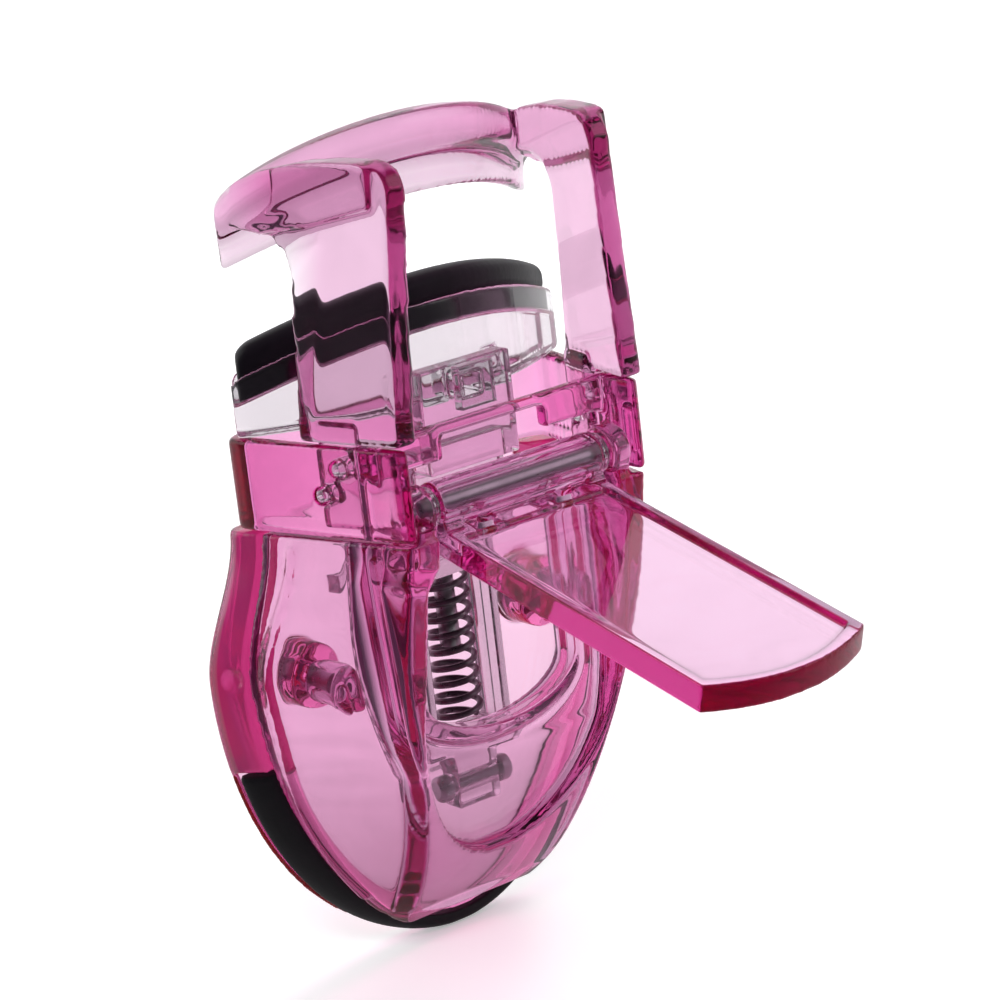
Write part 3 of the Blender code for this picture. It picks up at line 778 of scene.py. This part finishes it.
# ---------------------------------------------------------------- upper frame
# depth, height, follow: the bar, with a thin lip hanging from it to LIP_Z
BAR_SECTION = [
    (-1.2, BAR_Z + 0.02, 1), (0.7, BAR_Z + 0.02, 1), (1.3, BAR_Z - 0.16, 1),
    (1.66, BAR_Z - 0.5, 1), (1.8, BAR_Z - 1.0, 1), (1.8, BAR_BASE + 0.6, 1),
    (1.66, BAR_BASE + 0.2, 1), (1.3, BAR_BASE, 1), (0.9, BAR_BASE - 0.3, 1),
    (0.68, BAR_BASE - 0.9, 1), (0.62, LIP_Z, 1), (-0.52, LIP_Z, 1),
    (-0.62, BAR_BASE - 0.9, 1), (-0.85, BAR_BASE - 0.3, 1), (-1.3, BAR_BASE, 1),
    (-1.66, BAR_BASE + 0.2, 1), (-1.8, BAR_BASE + 0.7, 1), (-1.8, BAR_Z - 0.9, 1),
    (-1.6, BAR_Z - 0.3, 1)]

# y, z of the post: front edge and top, shared by its outer and inner faces
POST_FOOT_Z = COLLAR_Z1 + 0.25
POST_ROUND = 2.6
POST_EDGE = [
    (0.95, POST_FOOT_Z), (0.85, 54.0), (0.75, 58.6), (0.55, 63.0), (0.35, 67.5),
    *[(0.25 + POST_ROUND - POST_ROUND * math.cos(math.radians(k)),
       POST_TOP + 0.2 - POST_ROUND + POST_ROUND * math.sin(math.radians(k)))
      for k in range(0, 91, 10)],
    (6.0, POST_TOP + 0.25), (9.0, POST_TOP + 0.1), (12.5, POST_TOP - 0.5),
    (15.2, BAR_Z + 1.5), (17.4, BAR_Z + 0.3)]
POST_OUTER = POST_EDGE + [
    (18.2, 66.2), (14.6, 65.9), (12.4, 65.5), (11.2, 64.3), (10.7, 62.0), (10.9, 55.0),
    (11.0, POST_FOOT_Z)]
POST_INNER = POST_EDGE + [
    (18.2, 66.4), (14.6, 67.2), (11.2, 67.5), (9.5, 66.9), (8.6, 65.0), (9.4, 58.0),
    (11.0, POST_FOOT_Z)]
GUSSET = [
    (1.6, 68.2), *[q for q in POST_EDGE if q[0] > 0.9 and q[1] > 69.0][1:],
    (17.0, 67.4), (15.6, 66.4), (13.0, 66.0), (8.0, 66.7)]
POST_FOOT = [(6.7, 41.3), (10.6, 41.3), (10.6, COLLAR_Z1 + 1.5), (6.7, COLLAR_Z1 + 1.5)]


def post_x(y, z):
    """Outer face of the post."""
    return 12.0 + 0.062 * max(-4.0, 67.5 - z) + 0.23 * (y - 0.7)


def slab(side, face_x, outer, outer_shift, inner, inner_shift):
    """Plate between two (y, z) outlines, each shifted in x from a curved face."""
    return loft([[point(side * (face_x(y, z) + shift), y, z) for y, z in face]
                 for face, shift in ((outer, outer_shift), (inner, inner_shift))])


def bar_end(from_tip, d, z):
    f = tip_round(from_tip, 1.6)
    x = max(0.0, BAR_HALF - from_tip)
    lift = 1.15 * (1 - (x / BAR_HALF) ** 5)
    lip_top = BAR_BASE - 0.4
    t = min(1.0, max(0.0, (z - lip_top) / 2.4))
    raised = lift * (0.45 + 0.55 * t if z > lip_top else 0.0)
    lowered = 0.75 * (1 - f) if z > BAR_Z - 1.2 else 0.0
    return d * (0.62 + 0.38 * f), z + raised - lowered


def make_frame():
    part = Part("upper_frame_moulded", arc_sweep(BAR_SECTION, BAR_HALF, 64, bar_end))
    for s in SIDES:
        part.add(slab(s, post_x, POST_OUTER, 0.0, POST_INNER, -POST_T))
        # thicker gusset over the post, its lower edge running down to the rear
        part.add(slab(s, post_x, GUSSET, -1.0, GUSSET, 0.75))
        # foot of the post, inside the collar
        part.add(slab(s, lambda y, z: side_x(y), POST_FOOT, -1.32, POST_FOOT, -2.65))
        for y, z in LOCK_PIN_YZ:
            part.cut(rod('X', (s * (side_x(y) - 1.6), y, z), LOCK_HOLE_R, 1.5))
    part.finish("upper_frame", "body", "clear_pink", voxel=0.19, rounds=24,
                material="frame_pink")


# ---------------------------------------------------------------------- lever
def lever_point(x, u, v):
    """u runs out from the hinge along the lever, v up from it."""
    y = HINGE_Y - u * math.cos(TILT) - v * math.sin(TILT)
    z = HINGE_Z - u * math.sin(TILT) + v * math.cos(TILT)
    return point(x, y, z)


def lever_prism(outline_xu, v0, v1):
    return loft([[lever_point(x, u, v) for x, u in outline_xu] for v in (v0, v1)])


def lever_outline(inset, root, notches):
    w = LEVER_HALF_W - inset
    tip = LEVER_LEN - inset
    crown = [w - 2 * w * i / 24 for i in range(25)]
    points = [(w, root), *[(x, tip + LEVER_CROWN * (1 - (x / w) ** 2)) for x in crown],
              (-w, root)]
    if notches:
        points += [(-5.1, root), (-5.1, 2.2), (-3.35, 2.2), (-3.35, root),
                   (3.35, root), (3.35, 2.2), (5.1, 2.2), (5.1, root)]
    return points


# y, z: web below the hinge barrel, and the arm that carries the lift pin
LEVER_WEB = [(HINGE_Y - 2.2, 39.8), (HINGE_Y + 1.6, 40.2), (HINGE_Y + 1.5, 42.2),
             (HINGE_Y - 1.5, 41.6)]
LIFT_ARM = [
    (1.6, 38.6), (LIFT_Y, LIFT_Z - 1.25), (LIFT_Y + 0.9, LIFT_Z - 0.85),
    (LIFT_Y + 1.25, LIFT_Z), (LIFT_Y + 0.9, LIFT_Z + 0.85), (LIFT_Y, LIFT_Z + 1.25),
    (HINGE_Y + 0.9, 41.3), (2.0, 40.6)]


def make_lever():
    part = Part("lever_moulded", lever_prism(lever_outline(0, -1.0, notches=True),
                                             LEVER_TOP - LEVER_T, LEVER_TOP))
    # shallow dish in the upper face
    part.cut(lever_prism(lever_outline(0.95, 3.4, notches=False),
                         LEVER_TOP - 0.4, LEVER_TOP + 1.0))
    part.add(rod('X', (0, HINGE_Y, HINGE_Z), 2.0, LEVER_HALF_W))
    for s in SIDES:
        part.add(prism_x(LEVER_WEB, *span(s, 6.8, LEVER_HALF_W)))
        part.add(prism_x(LIFT_ARM, *span(s, 2.1, 3.3)))
        part.cut(rod('X', (s * 2.7, LIFT_Y, LIFT_Z), 0.78, 1.4))
    part.cut(rod('X', (0, HINGE_Y, HINGE_Z), 0.97, 12))
    hinge = point(0, HINGE_Y, HINGE_Z)
    level = Matrix.Rotation(-TILT, 4, 'X') @ Matrix.Translation(-hinge)
    part.finish("lever", "thumb_lever", "clear_pink_lever", voxel=0.15, rounds=18,
                align=level)


# ------------------------------------------------------- lower jaw and its pad
# depth, height, follow: block with a groove for the pad
JAW_SECTION = [
    (-JAW_T / 2, JAW_FOOT_Z, 0), (JAW_T / 2, JAW_FOOT_Z, 0), (JAW_T / 2, JAW_TOP - 0.3, 1),
    (JAW_T / 2 - 0.25, JAW_TOP, 1), (1.5, JAW_TOP, 1), (1.42, JAW_TOP - 2.5, 1),
    (-1.42, JAW_TOP - 2.5, 1), (-1.5, JAW_TOP, 1), (-JAW_T / 2 + 0.25, JAW_TOP, 1),
    (-JAW_T / 2, JAW_TOP - 0.3, 1)]
PAD_SECTION = [
    (-1.1, JAW_TOP - 2.3, 1), (1.1, JAW_TOP - 2.3, 1), (1.2, JAW_TOP - 1.9, 1),
    (1.2, JAW_TOP + 0.1, 1), (1.32, JAW_TOP + 0.3, 1), (1.34, PAD_Z - 0.95, 1),
    (1.18, PAD_Z - 0.5, 1), (0.8, PAD_Z - 0.17, 1), (0.35, PAD_Z - 0.03, 1),
    (-0.35, PAD_Z - 0.03, 1), (-0.8, PAD_Z - 0.17, 1), (-1.18, PAD_Z - 0.5, 1),
    (-1.34, PAD_Z - 0.95, 1), (-1.32, JAW_TOP + 0.3, 1), (-1.2, JAW_TOP + 0.1, 1),
    (-1.2, JAW_TOP - 1.9, 1)]


def jaw_end(from_tip, d, z):
    f = tip_round(from_tip, 1.5)
    return d * (0.7 + 0.3 * f), z - (0.5 * (1 - f) if z > JAW_TOP - 0.5 else 0)


def pad_end(from_tip, d, z):
    f = tip_round(from_tip, 1.1)
    return d * (0.45 + 0.55 * f), z - (0.8 * (1 - f) if z > JAW_TOP + 0.4 else 0)


def clip_hole(y0, y1):
    return box(-CLIP_HOLE_HALF_W, CLIP_HOLE_HALF_W, y0, y1, *CLIP_HOLE_Z)


def make_jaw():
    part = Part("jaw_carrier_moulded", arc_sweep(JAW_SECTION, 16.5, 56, jaw_end))
    part.cut(clip_hole(9.0, 13.0))
    # blind pockets in the front face, either side of the clip
    for s in SIDES:
        part.cut(box(*span(s, 3.6, 5.6), 9.4, 11.2, 49.8, 52.2))
    part.finish("jaw_carrier", "jaw_slider", "clear_plastic", voxel=0.17, rounds=10)


def make_pad():
    part = Part("silicone_pad_soft", arc_sweep(PAD_SECTION, 16.0, 56, pad_end))
    part.finish("silicone_pad", "jaw_slider", "black_silicone", voxel=0.16, rounds=4)


# ----------------------------------------------------- lift stem, clip and seat
# y, z: the cranked upper part, seen from the side
STEM_SIDE = [(7.9, 52.4), (7.9, 43.5), (10.2, 43.5), (10.2, 35.6), (15.7, 35.6),
             (15.7, 38.6), (12.2, 38.6), (12.2, 45.4), (9.8, 45.4), (9.8, 52.4)]
# x, z: the fork below it, seen from the front
STEM_FORK = [
    (-STEM_HALF_W, 37.0), (-STEM_HALF_W, 17.0), (-2.3, 17.0), (-2.3, 12.6), (2.3, 12.6),
    (2.3, 17.0), (STEM_HALF_W, 17.0), (STEM_HALF_W, 37.0), (3.1, 37.0), (3.1, 19.2),
    (-3.1, 19.2), (-3.1, 37.0)]
# x, y
SEAT_PLAN = [(-2.7, 12.0), (2.7, 12.0), (2.7, 16.6), (8.5, 16.6), (8.5, 18.6),
             (-8.5, 18.6), (-8.5, 16.6), (-2.7, 16.6)]


def make_stem():
    part = Part("lift_stem_moulded", prism_x(STEM_SIDE, -STEM_HALF_W, STEM_HALF_W))
    part.add(prism_y(STEM_FORK, 13.3, 15.69))
    for s in SIDES:
        part.add(box(*span(s, 3.55, 4.75), 5.75, 11.0, LIFT_Z - 1.7, LIFT_Z + 1.7))
    # slot in which the lift pin slides
    part.cut(box(-6, 6, LIFT_Y - 0.88, HINGE_Y + CRANK_R + 0.85,
                 LIFT_Z - 0.83, LIFT_Z + 0.83))
    part.cut(clip_hole(7.0, 10.5))
    part.cut(rod('X', (0, SPRING_Y, FOOT_PIN_Z), 0.95, 4.0))
    part.finish("lift_stem", "jaw_slider", "clear_plastic", voxel=0.17, rounds=10)


def make_clip():
    part = Part("jaw_clip_moulded", box(-1.85, 1.85, 6.5, 7.6, 48.65, 52.35))
    part.add(box(-1.05, 1.05, 7.0, 12.4, 49.65, 51.35))
    part.finish("jaw_clip", "jaw_slider", "clear_plastic", voxel=0.14, rounds=4)


def make_seat():
    part = Part("spring_seat_moulded", prism_z(SEAT_PLAN, 33.4, 35.0))
    part.finish("spring_seat", "body", "clear_plastic", voxel=0.15, rounds=4)


# ---------------------------------------------------- steel pins, screws, spring
# node, body, half length, y, z, profile of (share of the length, radius)
PINS = [
    ("hinge_pin", "body", 10.6, HINGE_Y, HINGE_Z,
     [(0, 0.5), (0.012, 0.75), (1 - 0.012, 0.75), (1, 0.5)]),
    ("lift_pin", "thumb_lever", 5.0, LIFT_Y, LIFT_Z,
     [(0, 0.38), (0.02, 0.58), (0.98, 0.58), (1, 0.38)]),
    ("foot_pin", "jaw_slider", 4.0, SPRING_Y, FOOT_PIN_Z,
     [(0, 0.8), (0.035, 1.2), (0.06, 1.3), (0.15, 1.3), (0.165, 1.2), (0.17, 0.7),
      (0.83, 0.7), (0.835, 1.2), (0.85, 1.3), (0.94, 1.3), (0.965, 1.2), (1, 0.8)]),
]


def make_pins():
    for node, body, half, y, z, profile in PINS:
        rings = [[point(-half + 2 * half * t, y + r * math.cos(a), z + r * math.sin(a))
                  for a in angles(48)] for t, r in profile]
        Part(node + "_turned", loft(rings)).finish(node, body, "steel")


def make_screws():
    for s, node in zip(SIDES, ("case_screw_left", "case_screw_right")):
        x = s * SCREW_X
        part = Part(node + "_turned", rod('Y', (x, 20.35, SCREW_Z), 1.7, 0.6))
        part.add(rod('Y', (x, 16.9, SCREW_Z), 0.72, 3.2))
        # cross recess
        for half_x, half_z in ((1.05, 0.2), (0.2, 1.05)):
            part.cut(box(x - half_x, x + half_x, 20.35, 21.5,
                         SCREW_Z - half_z, SCREW_Z + half_z))
        part.finish(node, "body", "steel", voxel=0.09, rounds=4)


def make_spring():
    steps = 40
    count = SPRING_TURNS * steps
    low, high = SPRING_Z0 + SPRING_END_GAP, SPRING_Z1 - SPRING_END_GAP
    path = []
    for i in range(count + 1):
        a = 2 * math.pi * i / steps
        path.append(point(SPRING_R * math.cos(a), SPRING_Y + SPRING_R * math.sin(a),
                          low + (high - low) * i / count))
    axis_y = point(0, SPRING_Y, 0).y
    coil = wire(path, SPRING_WIRE_R, 10,
                lambda place, heading: Vector((place.x, place.y - axis_y, 0)))
    ob = Part("return_spring_wound", coil).finish("return_spring", "body", "spring_steel")
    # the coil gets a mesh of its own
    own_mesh(ob)


for make in (make_front, make_back, make_bumper, make_collar, make_frame, make_lever,
             make_jaw, make_pad, make_stem, make_clip, make_seat, make_pins, make_screws,
             make_spring):
    make()

for ob in list(work.objects):
    bpy.data.objects.remove(ob, do_unlink=True)
bpy.data.collections.remove(work)


def break_cad_edges():
    """Small bevels on the pieces still shown from the CAD."""
    for node in ("hinge_spacer_left", "hinge_spacer_right", "spring_guide_rod",
                 "lock_pin_left_front", "lock_pin_left_rear",
                 "lock_pin_right_front", "lock_pin_right_rear"):
        ob = NODES[node]
        weld = ob.modifiers.new("weld", 'WELD')
        weld.merge_threshold = 1e-6
        bevel = ob.modifiers.new("bevel", 'BEVEL')
        bevel.width = 0.12 * MM
        bevel.segments = 3
        bevel.limit_method = 'ANGLE'
        bevel.angle_limit = math.radians(40)
        ob.data.shade_smooth()


break_cad_edges()

# ------------------------------------------------------------ stage, in metres
# Axes and place of the camera; it looks against CAM_BACK
CAM_RIGHT = Vector((0.7627, -0.6369, -0.1123))
CAM_UP = Vector((0.2517, 0.1323, 0.9587))
CAM_BACK = Vector((-0.5958, -0.7595, 0.2612))
CAM_PLACE = Vector((-0.1780906, -0.2428795, 0.0927988))

# Soft lights of the world, round the camera: x right, y up, z away from it.
# direction, cosines where the light starts and is full, gain, colour
LOBES = [
    ((0, 0, 1), -2.0, -1.9, 0.09, (0.95, 0.85, 1.0)),            # dim room
    ((0, 0.05, 1), 0.52, 0.95, 0.80, (1.0, 1.0, 1.0)),           # lit backdrop
    ((-1.0, 0.35, 0.05), 0.88, 0.96, 1.25, (1.0, 1.0, 1.0)),     # left window
    ((0.95, 0.45, -0.10), 0.90, 0.97, 0.95, (1.0, 0.98, 1.0)),   # right window
    ((0.0, 1.0, 0.25), 0.84, 0.95, 0.85, (1.0, 1.0, 1.0)),       # overhead box
]


def make_world():
    """White to the camera; every other ray sees the lobes."""
    world = bpy.data.worlds.new("studio")
    scene.world = world
    graph = Graph(world)
    coord = graph.add("TexCoord").outputs["Camera"]
    ray = graph.add("VectorMath", {0: coord}, operation="NORMALIZE").outputs[0]
    total = None
    for direction, start, full, gain, colour in LOBES:
        dot = graph.add("VectorMath", {0: ray, 1: Vector(direction).normalized()},
                        operation="DOT_PRODUCT").outputs["Value"]
        fade = graph.add("MapRange", {"From Min": start, "From Max": full, "To Max": gain,
                                      "Value": dot}, interpolation_type="SMOOTHSTEP")
        lobe = graph.add("VectorMath", {0: colour, "Scale": fade.outputs["Result"]},
                         operation="SCALE").outputs[0]
        if total is None:
            total = lobe
        else:
            total = graph.add("VectorMath", {0: total, 1: lobe}, operation="ADD").outputs[0]
    lit = graph.add("Background", {"Color": total})
    white = graph.add("Background", {"Color": (1, 1, 1, 1), "Strength": 1.0})
    seen = graph.add("LightPath").outputs["Is Camera Ray"]
    surface = graph.add("MixShader", {0: seen, 1: lit.outputs[0], 2: white.outputs[0]})
    graph.add("OutputWorld", {"Surface": surface.outputs[0]})


def area(name, place, size, power):
    """Square lamp aimed at the product, unseen in reflections."""
    light = bpy.data.lights.new(name, "AREA")
    light.shape = "RECTANGLE"
    light.size = size
    light.size_y = size
    light.energy = power
    ob = bpy.data.objects.new(name, light)
    scene.collection.objects.link(ob)
    ob.location = place
    ob.rotation_mode = "QUATERNION"
    aim = Vector((0, -0.01, 0.01)) - Vector(place)
    ob.rotation_quaternion = aim.to_track_quat("-Z", "Y")
    ob.visible_glossy = False
    ob.visible_transmission = False


def floor_mesh():
    """Flat paper that curves up into a wall behind the product."""
    half, bend_y, bend_r, bend_steps = 3.0, 0.9, 0.8, 24
    low = CAD_BOX[0].z
    ground = low - 0.0002
    bm = bmesh.new()

    def row(y, z):
        return [bm.verts.new((x, y, z)) for x in (-half, half)]

    rows = []
    for i in range(bend_steps + 1):
        a = math.pi / 2 * i / bend_steps
        rows.append(row(bend_y + bend_r * math.sin(a), ground + bend_r * (1 - math.cos(a))))
    for a, b in zip(rows, rows[1:]):
        bm.faces.new((a[0], a[1], b[1], b[0]))
    front = row(-3.0, ground)
    bm.faces.new((front[0], front[1], rows[0][1], rows[0][0]))
    top = row(bend_y + bend_r, low + 3.0)
    bm.faces.new((rows[-1][0], rows[-1][1], top[1], top[0]))
    bmesh.ops.recalc_face_normals(bm, faces=bm.faces)
    mesh = bpy.data.meshes.new("floor")
    bm.to_mesh(mesh)
    bm.free()
    mesh.shade_smooth()
    return mesh


def floor_paper():
    """Bright paper to the camera; other rays see it dark near the product."""
    material, graph = new_material("floor_paper")
    coord = graph.add("TexCoord").outputs
    speckle = graph.noise(coord["Object"], scale=40.0, rough=0.5)
    grain = graph.mix_colour(graph.remap(speckle, source=(0.3, 0.7)),
                             (0.93, 0.93, 0.93), (0.91, 0.91, 0.915))
    depth = graph.add("SeparateXYZ", {0: coord["Camera"]}).outputs["Z"]
    far = graph.remap(depth, source=(0.26, 0.38), target=(0.0, 0.88))
    camera_ray = graph.add("LightPath").outputs["Is Camera Ray"]
    seen = graph.calc("MAXIMUM", camera_ray, far)
    glow = graph.remap(depth, source=(0.26, 1.1), target=(0.30, 0.72))
    body = graph.add("BsdfPrincipled", {
        "Base Color": graph.mix_colour(seen, (0.09, 0.08, 0.095), grain),
        "Roughness": 0.55,
        "Emission Color": (1, 1, 1, 1),
        "Emission Strength": graph.calc("MULTIPLY", glow, seen)})
    graph.add("OutputMaterial", {"Surface": body.outputs[0]})
    return material


def make_floor():
    mesh = floor_mesh()
    floor = bpy.data.objects.new("floor", mesh)
    scene.collection.objects.link(floor)
    # the wall faces the camera
    floor.rotation_euler = (0, 0, -math.atan2(-CAM_BACK.x, -CAM_BACK.y))
    mesh.materials.append(floor_paper())


def make_camera():
    camera = bpy.data.cameras.new("camera")
    camera.sensor_width = 36.0
    camera.lens = 129.6
    camera.clip_start = 0.01
    camera.clip_end = 20.0
    ob = bpy.data.objects.new("camera", camera)
    scene.collection.objects.link(ob)
    pose = Matrix((CAM_RIGHT, CAM_UP, CAM_BACK)).transposed().to_4x4()
    pose.translation = CAM_PLACE
    ob.matrix_world = pose
    scene.camera = ob


make_world()
area("key", place=(-0.32, -0.30, 0.42), size=0.22, power=1.5)
area("rim", place=(0.36, 0.16, 0.30), size=0.16, power=0.8)
area("front_fill", place=(0.12, -0.55, 0.16), size=0.30, power=0.6)
make_floor()
make_camera()

scene.view_settings.view_transform = "Standard"
# the settings exist only where the Cycles add-on is on
if hasattr(scene, "cycles"):
    # enough bounces to see through the nested clear walls
    for kind in ("max_bounces", "transmission_bounces", "glossy_bounces",
                 "transparent_max_bounces"):
        setattr(scene.cycles, kind, 28)

bpy.context.view_layer.update()
